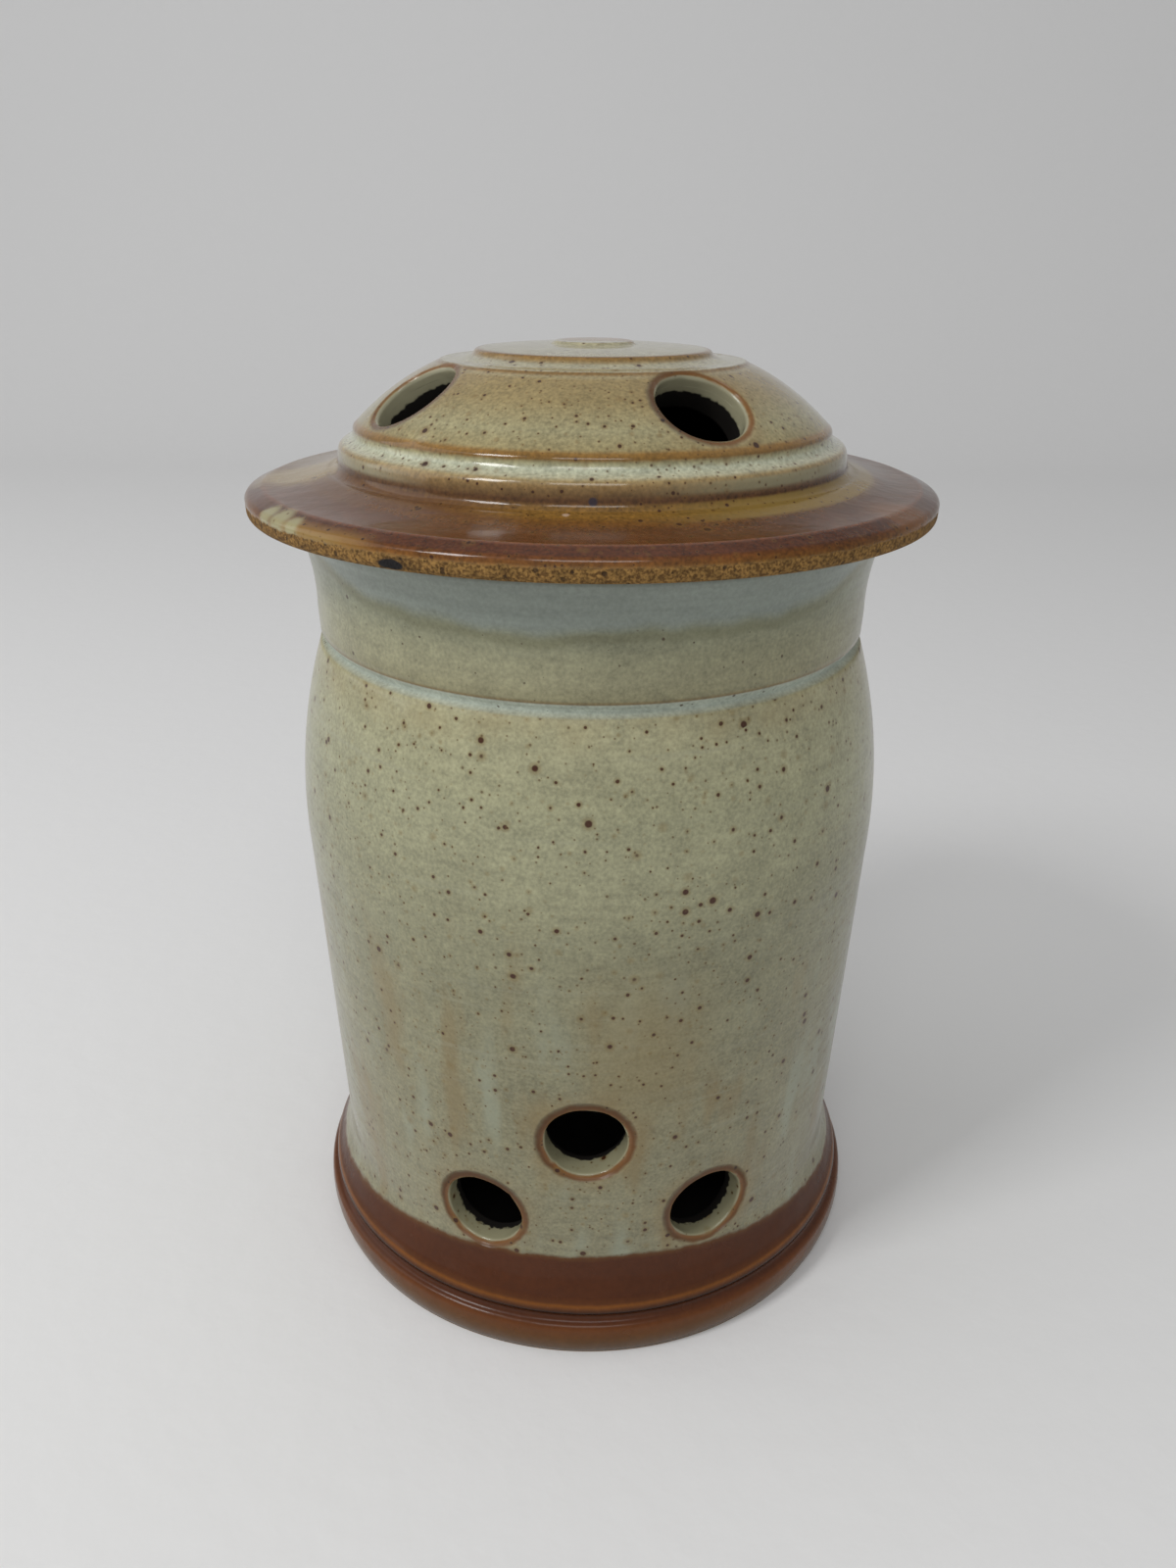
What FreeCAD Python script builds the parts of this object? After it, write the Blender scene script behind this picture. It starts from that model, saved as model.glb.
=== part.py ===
"""Stoneware garlic keeper: a thrown, vented pot and its domed, vented lid.

Millimetres. +Z is up, the origin is the centre of the foot on the table, and the
first group of vents in the pot looks along -Y.
"""
import FreeCAD, Part
import math
import os
import Sketcher

from FreeCAD import Placement, Rotation, Vector

# Each profile is the fired clay in section, as (name, radius, height, bend).
# It runs anticlockwise, so the clay is on the left. The bend is the radius of the
# arc that leads on to the next station: positive swells out of the clay, negative
# hollows it, and 0 is a straight run.
POT_PROFILE = [
    ("under_centre", 0.0, 2.0, 0),
    ("under_edge", 54.0, 2.0, 0),
    ("sole_inner", 57.0, 0.0, 0),
    ("sole_outer", 66.8, 0.0, 12.0),
    ("foot_crown", 67.9, 7.0, 1.6),
    ("crown_top", 67.0, 8.5, -1.45),
    ("bead_low", 66.4, 11.0, 3.2),
    ("bead_top", 65.3, 13.6, 0),
    ("crease_low", 63.6, 17.2, -14.0),
    ("crease_high", 61.9, 24.4, 0),
    ("belly_start", 65.5, 103.6, 123.0),
    ("shoulder", 59.4, 151.2, 0),
    ("groove", 58.1, 152.0, 0),
    ("neck_low", 59.4, 154.0, 0),
    ("neck_high", 59.6, 158.6, -42.0),
    ("rim_outer", 62.2, 175.0, 3.0),
    ("seat_outer", 60.0, 178.0, 0),
    ("seat_inner", 55.7, 178.0, 2.5),
    ("mouth", 53.2, 175.5, 0),
    ("throat", 53.2, 153.0, -170.0),
    ("belly_inner", 58.0, 105.0, 0),
    ("corner_high", 55.7, 22.0, -10.0),
    ("corner_low", 45.7, 12.0, 0),
    ("floor_centre", 0.0, 11.0, 0),
]

# The lid's heights are measured from its seat on the rim of the pot.
LID_PROFILE = [
    ("vault_centre", 0.0, 25.6, -141.0),
    ("vault_shoulder", 29.0, 22.6, -46.0),
    ("vault_spring", 45.0, 9.0, 0),
    ("collar_root_inner", 46.4, 5.5, 0),
    ("collar_inner", 46.4, -10.5, 1.5),
    ("collar_end_inner", 47.9, -12.0, 0),
    ("collar_end_outer", 50.7, -12.0, 1.5),
    ("collar_outer", 52.2, -10.5, 0),
    ("collar_root_outer", 52.2, -1.0, -1.0),
    ("seat_root", 53.2, 0.0, 0),
    ("flange_under", 70.7, 0.0, 1.6),
    ("edge_low", 72.2, 1.5, 0),
    ("edge_high", 72.3, 3.6, 1.6),
    ("edge_top", 71.2, 4.8, 0),
    ("roll", 68.5, 5.9, -40.0),
    ("flange_top", 55.5, 8.3, -2.0),
    ("bead_foot", 53.3, 10.0, 0),
    ("bead_side", 53.0, 12.2, 2.2),
    ("bead_crest", 51.6, 14.0, -2.6),
    ("cove", 49.7, 15.9, 1.4),
    ("dome_foot", 49.0, 17.4, 54.0),
    ("dome_line", 31.8, 29.2, 1.2),
    ("step_out", 31.0, 29.6, -14.0),
    ("step_in", 25.2, 30.4, -1.2),
    ("disc_edge", 24.4, 31.1, 1.2),
    ("disc_top", 23.6, 31.6, 160.0),
    ("swirl_foot", 9.4, 32.4, -1.5),
    ("swirl_edge", 8.2, 32.9, 1.5),
    ("swirl_top", 7.2, 33.1, 0),
    ("crown", 0.0, 33.2, 0),
]

# Loose sizes. Angles are degrees about +Z from the front, which faces -Y.
SIZES = {
    "vent_diameter": 17.6,
    "vent_edge": 1.4,
    "vent_inner_edge": 1.0,
    "upper_vent_angle": 0.0,
    "upper_vent_height": 56.8,
    "left_vent_angle": -21.5,
    "left_vent_height": 33.2,
    "right_vent_angle": 26.0,
    "right_vent_height": 33.6,
    "lid_vent_angle": 30.0,
    "lid_vent_count": 4,
    "lid_vent_radius": 40.2,
    "lid_vent_height": 24.6,
    "lid_vent_tilt": 34.0,
    "lid_vent_edge": 2.2,
    "lid_vent_reach": 14.0,
    "cutter_start": 5.0,
}

# The pot's vents come in threes, and this is a radius between its two faces.
VENT_SIDES = ("upper", "left", "right")
WALL_MIDDLE = 59.5


def fill_sheet(doc):
    """Put every driving dimension in the sheet, one alias to a row."""
    sheet = doc.addObject("Spreadsheet::Sheet", "sizes")
    rows = list(SIZES.items())
    for prefix, profile in (("pot", POT_PROFILE), ("lid", LID_PROFILE)):
        for name, radius, height, bend in profile:
            rows.append((f"{prefix}_{name}_radius", radius))
            rows.append((f"{prefix}_{name}_height", height))
            if bend:
                rows.append((f"{prefix}_{name}_bend", abs(bend)))
    for number, (alias, value) in enumerate(rows, start=1):
        sheet.set(f"A{number}", alias)
        sheet.set(f"B{number}", str(value))
        sheet.setAlias(f"B{number}", alias)
    doc.recompute()
    return sheet


def origin_feature(body, role):
    """Return one of a body's own origin planes or axes."""
    for feature in body.Origin.OriginFeatures:
        if feature.Role == role:
            return feature
    raise ValueError(role)


def new_sketch(body, name, plane):
    """Start a sketch on one of the body's origin planes."""
    sketch = body.newObject("Sketcher::SketchObject", name)
    sketch.AttachmentSupport = (origin_feature(body, plane), [""])
    sketch.MapMode = "FlatFace"
    return sketch


def arc_middle(start, end, bend):
    """Return the middle of the arc that swells to the right of start to end."""
    chord = end - start
    half = chord.Length / 2
    rise = abs(bend) - math.sqrt(bend * bend - half * half)
    right = Vector(chord.y, -chord.x, 0).normalize()
    return (start + end) / 2 + right * math.copysign(rise, bend)


def end_at(sketch, geometry, point):
    """Return 1 or 2, the end of an edge that lies on a point."""
    start_gap = (sketch.getPoint(geometry, 1) - point).Length
    end_gap = (sketch.getPoint(geometry, 2) - point).Length
    return 1 if start_gap < end_gap else 2


def bind(sketch, kind, elements, value, alias):
    """Add a dimension to a sketch and tie it to the sheet."""
    index = sketch.addConstraint(Sketcher.Constraint(kind, *elements, value))
    sketch.setExpression(f"Constraints[{index}]", f"sizes.{alias}")


def draw_profile(body, prefix, profile):
    """Draw a closed half section, every station tied to the sheet."""
    sketch = new_sketch(body, f"{prefix}_section", "XZ_Plane")
    points = [Vector(radius, height, 0) for name, radius, height, bend in profile]
    edges = []
    for index, station in enumerate(profile):
        start = points[index]
        end = points[(index + 1) % len(points)]
        if station[3]:
            edge = Part.Arc(start, arc_middle(start, end, station[3]), end)
        else:
            edge = Part.LineSegment(start, end)
        edges.append(sketch.addGeometry(edge, False))
    for index, (name, radius, height, bend) in enumerate(profile):
        edge = edges[index]
        before = edges[index - 1]
        here = end_at(sketch, edge, points[index])
        there = end_at(sketch, before, points[index])
        sketch.addConstraint(Sketcher.Constraint("Coincident", before, there, edge, here))
        if radius:
            bind(sketch, "DistanceX", (-1, 1, edge, here), radius, f"{prefix}_{name}_radius")
        else:
            sketch.addConstraint(Sketcher.Constraint("PointOnObject", edge, here, -2))
        if height:
            bind(sketch, "DistanceY", (-1, 1, edge, here), height, f"{prefix}_{name}_height")
        else:
            sketch.addConstraint(Sketcher.Constraint("PointOnObject", edge, here, -1))
        if bend:
            bind(sketch, "Radius", (edge,), abs(bend), f"{prefix}_{name}_bend")
    return sketch


def throw(body, prefix, profile):
    """Revolve a half section about the wheel's axis."""
    sketch = draw_profile(body, prefix, profile)
    form = body.newObject("PartDesign::Revolution", f"{prefix}_form")
    form.Profile = sketch
    form.ReferenceAxis = (sketch, ["V_Axis"])
    form.Angle = 360
    return form


def draw_vent(sketch, height_alias):
    """Draw a vent's circle on the sketch's vertical axis."""
    centre = Vector(0, SIZES[height_alias], 0)
    radius = SIZES["vent_diameter"] / 2
    circle = sketch.addGeometry(Part.Circle(centre, Vector(0, 0, 1), radius), False)
    bind(sketch, "Diameter", (circle,), 2 * radius, "vent_diameter")
    bind(sketch, "DistanceY", (-1, 1, circle, 3), centre.y, height_alias)
    sketch.addConstraint(Sketcher.Constraint("PointOnObject", circle, 3, -2))


def cut_pot_vents(body, side):
    """Cut one vent of the front group and the one that faces it at the back."""
    sketch = new_sketch(body, f"{side}_vent_section", "XZ_Plane")
    sketch.AttachmentOffset = Placement(Vector(), Rotation(Vector(0, 1, 0), 0.1))
    sketch.setExpression("AttachmentOffset.Rotation.Angle", f"sizes.{side}_vent_angle")
    draw_vent(sketch, f"{side}_vent_height")
    vent = body.newObject("PartDesign::Pocket", f"{side}_vent")
    vent.Profile = sketch
    vent.Type = "ThroughAll"
    vent.SideType = "Symmetric"
    return vent


def draw_flared_bit(sketch):
    """Draw half of a bit that bores a vent and rolls its edge, turning on the V axis."""
    half = SIZES["vent_diameter"] / 2
    edge = SIZES["lid_vent_edge"]
    axis = (0, None)
    bore = (half, "sizes.vent_diameter / 2")
    mouth = (half + edge, "sizes.vent_diameter / 2 + sizes.lid_vent_edge")
    tip = (-SIZES["lid_vent_reach"], "-sizes.lid_vent_reach")
    roll = (-edge, "-sizes.lid_vent_edge")
    face = (0, None)
    back = (SIZES["cutter_start"], "sizes.cutter_start")
    corners = [(axis, tip), (bore, tip), (bore, roll), (mouth, face), (mouth, back), (axis, back)]
    points = [Vector(across[0], along[0], 0) for across, along in corners]
    edges = []
    for index, start in enumerate(points):
        end = points[(index + 1) % len(points)]
        line = Part.LineSegment(start, end)
        if corners[index] == (bore, roll):
            line = Part.Arc(start, arc_middle(start, end, -edge), end)
            arc = index
        edges.append(sketch.addGeometry(line, False))
    for index, (across, along) in enumerate(corners):
        here = end_at(sketch, edges[index], points[index])
        there = end_at(sketch, edges[index - 1], points[index])
        ends = (edges[index - 1], there, edges[index], here)
        sketch.addConstraint(Sketcher.Constraint("Coincident", *ends))
        for kind, line, (value, rule) in (("DistanceX", -2, across), ("DistanceY", -1, along)):
            if rule:
                gap = Sketcher.Constraint(kind, -1, 1, edges[index], here, value)
                sketch.setExpression(f"Constraints[{sketch.addConstraint(gap)}]", rule)
            else:
                on_line = Sketcher.Constraint("PointOnObject", edges[index], here, line)
                sketch.addConstraint(on_line)
    bind(sketch, "Radius", (edges[arc],), edge, "lid_vent_edge")


def cut_lid_vents(body):
    """Bore the vents square to the dome and repeat them round it."""
    sketch = body.newObject("Sketcher::SketchObject", "lid_vent_section")
    turn = Rotation(Vector(0, 0, 1), SIZES["lid_vent_angle"])
    lean = Rotation(Vector(1, 0, 0), 90 + SIZES["lid_vent_tilt"])
    sketch.Placement = Placement(Vector(), turn * lean)
    sketch.setExpression("Placement.Base.x", "sizes.lid_vent_radius * sin(sizes.lid_vent_angle)")
    sketch.setExpression("Placement.Base.y", "-sizes.lid_vent_radius * cos(sizes.lid_vent_angle)")
    sketch.setExpression("Placement.Base.z", "sizes.lid_vent_height")
    draw_flared_bit(sketch)
    vent = body.newObject("PartDesign::Groove", "lid_vent")
    vent.Profile = sketch
    vent.ReferenceAxis = (sketch, ["V_Axis"])
    vent.Angle = 360
    ring = body.newObject("PartDesign::PolarPattern", "lid_vents")
    ring.Originals = [vent]
    ring.Axis = (origin_feature(body, "Z_Axis"), [""])
    ring.Angle = 360
    ring.setExpression("Occurrences", "sizes.lid_vent_count")
    body.Tip = ring
    return vent, ring


def vent_edges(shape, angle, height, outside):
    """Name the closed edges where a pair of vents breaks through the wall."""
    reach = SIZES["vent_diameter"] / 2
    turn = math.radians(angle - 90)
    out = Vector(math.cos(turn), math.sin(turn), 0)
    axis_point = Vector(0, 0, height)
    names = []
    for index, edge in enumerate(shape.Edges, start=1):
        if edge.Degenerated:
            continue
        samples = edge.discretize(9)
        gaps = [sample.distanceToLine(axis_point, out) for sample in samples]
        if max(abs(gap - reach) for gap in gaps) > 0.05:
            continue
        depths = [abs((sample - axis_point).dot(out)) for sample in samples]
        if (min(depths) > WALL_MIDDLE) == outside:
            names.append(f"Edge{index}")
    return names


def round_vents(body, base, outside, size_alias):
    """Sponge the sharp edges of the pot's vents round."""
    names = []
    for side in VENT_SIDES:
        angle = SIZES[f"{side}_vent_angle"]
        height = SIZES[f"{side}_vent_height"]
        names += vent_edges(base.Shape, angle, height, outside)
    fillet = body.newObject("PartDesign::Fillet", size_alias)
    fillet.Base = (base, names)
    fillet.setExpression("Radius", f"sizes.{size_alias}")
    body.Tip = fillet
    return fillet


def make_pot(doc):
    """The thrown body: foot, belly, grooved neck and vents front and back."""
    body = doc.addObject("PartDesign::Body", "pot")
    body.Label = "pot"
    history = [throw(body, "pot", POT_PROFILE)]
    doc.recompute()
    for side in VENT_SIDES:
        history.append(cut_pot_vents(body, side))
        doc.recompute()
    for outside, size_alias in ((True, "vent_edge"), (False, "vent_inner_edge")):
        history.append(round_vents(body, history[-1], outside, size_alias))
        doc.recompute()
    return body, history


def make_lid(doc):
    """The domed lid: vault, locating collar, flange, rings and four vents."""
    body = doc.addObject("PartDesign::Body", "lid")
    body.Label = "lid"
    body.Placement = Placement(Vector(0, 0, 1), Rotation())
    body.setExpression("Placement.Base.z", "sizes.pot_seat_outer_height")
    form = throw(body, "lid", LID_PROFILE)
    vent, ring = cut_lid_vents(body)
    return body, [form, vent, ring]


def check(doc, bodies, histories):
    """Stop if a feature failed or a cut removed nothing."""
    for item in doc.Objects:
        if "Invalid" in item.State or "Error" in item.State:
            raise RuntimeError(f"{item.Name} failed: {item.State}")
    for body in bodies:
        shape = body.Shape
        if shape.isNull() or not shape.isValid() or len(shape.Solids) != 1:
            raise RuntimeError(f"{body.Label} is not one valid solid")
    for history in histories:
        for before, after in zip(history, history[1:]):
            if after.Shape.Volume >= before.Shape.Volume - 1:
                raise RuntimeError(f"{after.Name} removed nothing")


def main():
    doc = FreeCAD.newDocument("garlic_keeper")
    fill_sheet(doc)
    pot, pot_history = make_pot(doc)
    lid, lid_history = make_lid(doc)
    doc.recompute()
    bodies = [pot, lid]
    check(doc, bodies, [pot_history, lid_history])
    os.makedirs("parts", exist_ok=True)
    for body in bodies:
        body.Shape.exportStep(f"parts/{body.Label}.step")
        box = body.Shape.optimalBoundingBox()
        print(f"{body.Label}: {box.XLength:.1f} x {box.YLength:.1f} x {box.ZLength:.1f} mm,"
              f" top at {box.ZMax:.1f}, {body.Shape.Volume / 1000:.0f} cm3")


main()
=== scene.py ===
# %% [markdown]
# # A stoneware garlic keeper
#
# The object is two pieces of fired clay: a tall vented pot and a domed, vented lid
# that sits in its mouth. Both are thrown on a wheel, so nearly everything about them
# is a section turned about one axis. The frame of the imported model is loaded first,
# and the size of each of its pieces is printed. The visual model has to stay the same
# size.

# %% Load the frame
import math

import bmesh
import bpy
from mathutils import Matrix, Vector, noise


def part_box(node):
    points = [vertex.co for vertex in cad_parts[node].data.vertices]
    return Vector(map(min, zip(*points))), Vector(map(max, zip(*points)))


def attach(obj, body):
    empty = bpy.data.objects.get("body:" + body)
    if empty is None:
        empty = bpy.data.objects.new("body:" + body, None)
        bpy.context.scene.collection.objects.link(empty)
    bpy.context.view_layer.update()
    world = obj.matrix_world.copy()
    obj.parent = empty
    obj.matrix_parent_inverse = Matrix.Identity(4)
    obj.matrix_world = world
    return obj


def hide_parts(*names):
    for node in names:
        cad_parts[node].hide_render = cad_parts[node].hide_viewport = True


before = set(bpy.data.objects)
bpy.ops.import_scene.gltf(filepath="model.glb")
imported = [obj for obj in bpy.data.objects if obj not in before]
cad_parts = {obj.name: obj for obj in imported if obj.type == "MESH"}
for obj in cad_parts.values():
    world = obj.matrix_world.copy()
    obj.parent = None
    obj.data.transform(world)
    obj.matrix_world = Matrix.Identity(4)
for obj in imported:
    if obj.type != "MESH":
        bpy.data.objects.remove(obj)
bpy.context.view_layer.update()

MM = 0.001
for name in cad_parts:
    low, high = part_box(name)
    print(name, [round(side / MM, 1) for side in high - low], "mm")

# %% [markdown]
# ## The camera
#
# A camera held close to a tall object shows strong perspective: the lid's flange looks
# wider than the belly, and every ring is an ellipse of its own. A long lens further
# away would flatten that. So the camera stands a hand's length from the pot, a little
# above the lid, and looks down past it with a wide lens.

# %% Camera
LONG_SIDE_PIXELS = 1600
FOCAL_PIXELS = 1260
EYE = Vector((0.0, -267.7, 234.0)) * MM
LOOK_DOWN = math.radians(24.67)
LOOK_RIGHT = math.radians(-0.064)
LEAN = math.radians(0.498)
FILM_WIDTH = 36.0
NEAREST_SEEN = 0.01

ahead = Vector((
    math.sin(LOOK_RIGHT) * math.cos(LOOK_DOWN),
    math.cos(LOOK_RIGHT) * math.cos(LOOK_DOWN),
    -math.sin(LOOK_DOWN),
))
level_right = Vector((math.cos(LOOK_RIGHT), -math.sin(LOOK_RIGHT), 0.0))
level_up = level_right.cross(ahead)
right = level_right * math.cos(LEAN) + level_up * math.sin(LEAN)
up = level_up * math.cos(LEAN) - level_right * math.sin(LEAN)

lens = bpy.data.cameras.new("camera")
lens.sensor_width = FILM_WIDTH
lens.lens = FILM_WIDTH * FOCAL_PIXELS / LONG_SIDE_PIXELS
lens.clip_start = NEAREST_SEEN
camera = bpy.data.objects.new("camera", lens)
camera.matrix_world = Matrix.Translation(EYE) @ Matrix((right, up, -ahead)).transposed().to_4x4()
bpy.context.scene.collection.objects.link(camera)
bpy.context.scene.camera = camera
print("lens", round(lens.lens, 2), "mm")

# %% [markdown]
# ## The two sections
#
# A potter knows a form by its section, the line you see when the pot is sawn in half.
# Each section here is a list of stations, in millimetres: a name, the radius, the
# height and the bend of the run that leads on to the next station. A bend is an arc's
# radius. It is positive where the clay swells, negative where it hollows, and 0 on a
# straight run. Both sections go anticlockwise, the pot's from its sole round to its
# floor and the lid's from its vault round to its crown.

# %% The pot's section
POT_SECTION = [
    ("under_centre", 0.0, 2.0, 0), ("under_edge", 54.0, 2.0, 0),
    ("sole_inner", 57.0, 0.0, 0), ("sole_outer", 66.8, 0.0, 12.0),
    ("foot_crown", 67.9, 7.0, 1.6), ("crown_top", 67.0, 8.5, -1.45),
    ("bead_low", 66.4, 11.0, 3.2), ("bead_top", 65.3, 13.6, 0),
    ("crease_low", 63.6, 17.2, -14.0), ("crease_high", 61.9, 24.4, 0),
    ("belly_start", 65.5, 103.6, 123.0),
    ("shoulder", 59.4, 151.2, 0), ("groove", 58.1, 152.0, 0),
    ("neck_low", 59.4, 154.0, 0), ("neck_high", 59.6, 158.6, -42.0),
    ("rim_outer", 62.2, 175.0, 3.0), ("seat_outer", 60.0, 178.0, 0),
    ("seat_inner", 55.7, 178.0, 2.5), ("mouth", 53.2, 175.5, 0),
    ("throat", 53.2, 153.0, -170.0), ("belly_inner", 58.0, 105.0, 0),
    ("corner_high", 55.7, 22.0, -10.0), ("corner_low", 45.7, 12.0, 0),
    ("floor_centre", 0.0, 11.0, 0),
]
SEAT_HEIGHT = 178.0
print("the pot has", len(POT_SECTION), "stations and its seat is", SEAT_HEIGHT, "mm up")

# %% The lid's section, with heights measured from its seat on the rim
LID_SECTION = [
    ("vault_centre", 0.0, 25.6, -141.0), ("vault_shoulder", 29.0, 22.6, -46.0),
    ("vault_spring", 45.0, 9.0, 0), ("collar_root_inner", 46.4, 5.5, 0),
    ("collar_inner", 46.4, -10.5, 1.5), ("collar_end_inner", 47.9, -12.0, 0),
    ("collar_end_outer", 50.7, -12.0, 1.5), ("collar_outer", 52.2, -10.5, 0),
    ("collar_root_outer", 52.2, -1.0, -1.0), ("seat_root", 53.2, 0.0, 0),
    ("flange_under", 70.7, 0.0, 1.6), ("edge_low", 72.2, 1.5, 0),
    ("edge_high", 72.3, 3.6, 1.6), ("edge_top", 71.2, 4.8, 0),
    ("roll", 68.5, 5.9, -40.0), ("flange_top", 55.5, 8.3, -2.0),
    ("bead_foot", 53.3, 10.0, 0), ("bead_side", 53.0, 12.2, 2.2),
    ("bead_crest", 51.6, 14.0, -2.6), ("cove", 49.7, 15.9, 1.4),
    ("dome_foot", 49.0, 17.4, 54.0), ("dome_line", 31.8, 29.2, 1.2),
    ("step_out", 31.0, 29.6, -14.0), ("step_in", 25.2, 30.4, -1.2),
    ("disc_edge", 24.4, 31.1, 1.2), ("disc_top", 23.6, 31.6, 160.0),
    ("swirl_foot", 9.4, 32.4, -1.5), ("swirl_edge", 8.2, 32.9, 1.5),
    ("swirl_top", 7.2, 33.1, 0), ("crown", 0.0, 33.2, 0),
]
print("the lid has", len(LID_SECTION), "stations")

# %% [markdown]
# A section is walked in short steps. Tight arcs get a step every few degrees, so that
# a small bead stays round, and long runs get a step every so many millimetres. Each
# point keeps its distance along the section, which later tells the glaze where it is.


# %% Walk along a section
def arc(here, there, bend):
    """The centre of the arc between two stations, and the way that it swells."""
    chord = there - here
    outward = Vector((chord.y, -chord.x)).normalized() * math.copysign(1, bend)
    rise = math.sqrt(bend ** 2 - (chord.length / 2) ** 2)
    return (here + there) / 2 - outward * rise, outward


class Section:
    """The points of a section, and how far along it each named station is."""

    def __init__(self, stations, step, tight_angle=math.radians(11)):
        self.points = []
        self.along = []
        self.station = {}
        run = 0.0
        for (name, radius, height, bend), following in zip(stations, stations[1:]):
            self.station[name] = run
            here = Vector((radius, height))
            there = Vector(following[1:3])
            chord = (there - here).length
            turn = 2 * math.asin(chord / 2 / abs(bend)) if bend else 0.0
            length = abs(bend) * turn if bend else chord
            pieces = max(1, math.ceil(length / step), math.ceil(turn / tight_angle))
            for number in range(pieces):
                share = number / pieces
                self._keep(self._on_run(here, there, bend, turn, share), run + share * length)
            run += length
        name, radius, height, _ = stations[-1]
        self.station[name] = run
        self._keep(Vector((radius, height)), run)

    def _keep(self, point, run):
        self.points.append(point)
        self.along.append(run)

    @staticmethod
    def _on_run(here, there, bend, turn, share):
        """A point on the arc or straight between two stations."""
        if not bend:
            return here.lerp(there, share)
        centre, outward = arc(here, there, bend)
        forward = (there - here).normalized()
        angle = turn * (share - 0.5)
        return centre + (outward * math.cos(angle) + forward * math.sin(angle)) * abs(bend)

    def at(self, run):
        """The point at any distance along the section."""
        run = min(max(run, 0.0), self.along[-1])
        low, high = 0, len(self.along) - 1
        while high - low > 1:
            middle = (low + high) // 2
            if self.along[middle] <= run:
                low = middle
            else:
                high = middle
        share = (run - self.along[low]) / (self.along[high] - self.along[low])
        return self.points[low].lerp(self.points[high], share)

    def nearest(self, radius, height, after, before):
        """The distance along, between two stations, of the point nearest to a place."""
        aim = Vector((radius, height))
        inside = [
            (run, point) for run, point in zip(self.along, self.points)
            if self.station[after] <= run <= self.station[before]
        ]
        return min(inside, key=lambda pair: (pair[1] - aim).length)[0]


pot_section = Section(POT_SECTION, step=1.55)
lid_section = Section(LID_SECTION, step=0.82)
print("rows of the pot", len(pot_section.points), "and of the lid", len(lid_section.points))

# %% [markdown]
# ## Walls as rolled-up sheets
#
# A section can be spun into a wall, but these walls are full of round vents, and a hole
# cut afterwards by a boolean leaves slivers that show in a glossy glaze. Instead each
# wall starts as a flat grid, azimuth one way and distance along the section the other.
# While it is flat, a square of faces is taken out for each end of each vent. Rolling
# the sheet up bends it into the pot, and pushing the grid lines near each square
# outwards turns it into a true circle that lies exactly on the wall.


# %% A vent, and the plane it is seen in
class Vent:
    """A round bore. azimuth is from the front, and tilt is 0 for a level bore."""

    def __init__(self, azimuth, radius, height, tilt, bore, reach):
        self.azimuth = azimuth
        self.bore = bore
        self.reach = reach
        outward = Vector((math.sin(azimuth), -math.cos(azimuth), 0.0))
        self.centre = outward * radius + Vector((0, 0, height))
        self.level = math.cos(tilt)
        self.axis = outward * self.level + Vector((0, 0, math.sin(tilt)))
        self.across = Vector((math.cos(azimuth), math.sin(azimuth), 0.0))
        self.climb = self.axis.cross(self.across) * -1.0

    def seen(self, point):
        """Where a point is when looking straight down the bore."""
        offset = point - self.centre
        return Vector((offset.dot(self.across), offset.dot(self.climb)))


# %% [markdown]
# A vertex near a vent is moved until, seen down the bore, it stands where it should.
# The wall's slope changes from point to point, so that is found by small corrections
# rather than by a formula: look where the vertex is, step by the miss, look again.


# %% Slide a point over a wall
MOST_CORRECTIONS = 12
NEAR_ENOUGH = 0.002
PROBE = 0.05
SHARE_OF_MISS = 0.8
SMALLEST_RADIUS = 5.0


def wall_point(section, azimuth, run):
    """A point of a wall, in millimetres."""
    radius, height = section.at(run)
    return Vector((radius * math.sin(azimuth), -radius * math.cos(azimuth), height))


def slide_to(section, vent, place, aim):
    """Slide a place on the wall until it is seen at aim, looking down the vent."""
    azimuth, run = place
    for _ in range(MOST_CORRECTIONS):
        here = vent.seen(wall_point(section, azimuth, run))
        miss = aim - here
        if miss.length < NEAR_ENOUGH:
            break
        radius = max(section.at(run).x, SMALLEST_RADIUS)
        by_turn = (vent.seen(wall_point(section, azimuth + PROBE / radius, run)) - here) / PROBE
        by_run = (vent.seen(wall_point(section, azimuth, run + PROBE)) - here) / PROBE
        size = by_turn.x * by_run.y - by_turn.y * by_run.x
        azimuth += (miss.x * by_run.y - miss.y * by_run.x) / size / radius * SHARE_OF_MISS
        run += (by_turn.x * miss.y - by_turn.y * miss.x) / size * SHARE_OF_MISS
    return azimuth, run


# %% [markdown]
# Each end of a vent takes out a square of cells. The points on the square's border go
# to the vent's circle. Those further out, up to the spread, are moved less and less, so
# that the grid flows round the vent.


# %% The two ends of a vent in the flat sheet
def ease(share):
    """A smooth step from 0 to 1."""
    share = min(max(share, 0.0), 1.0)
    return share * share * (3 - 2 * share)


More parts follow.
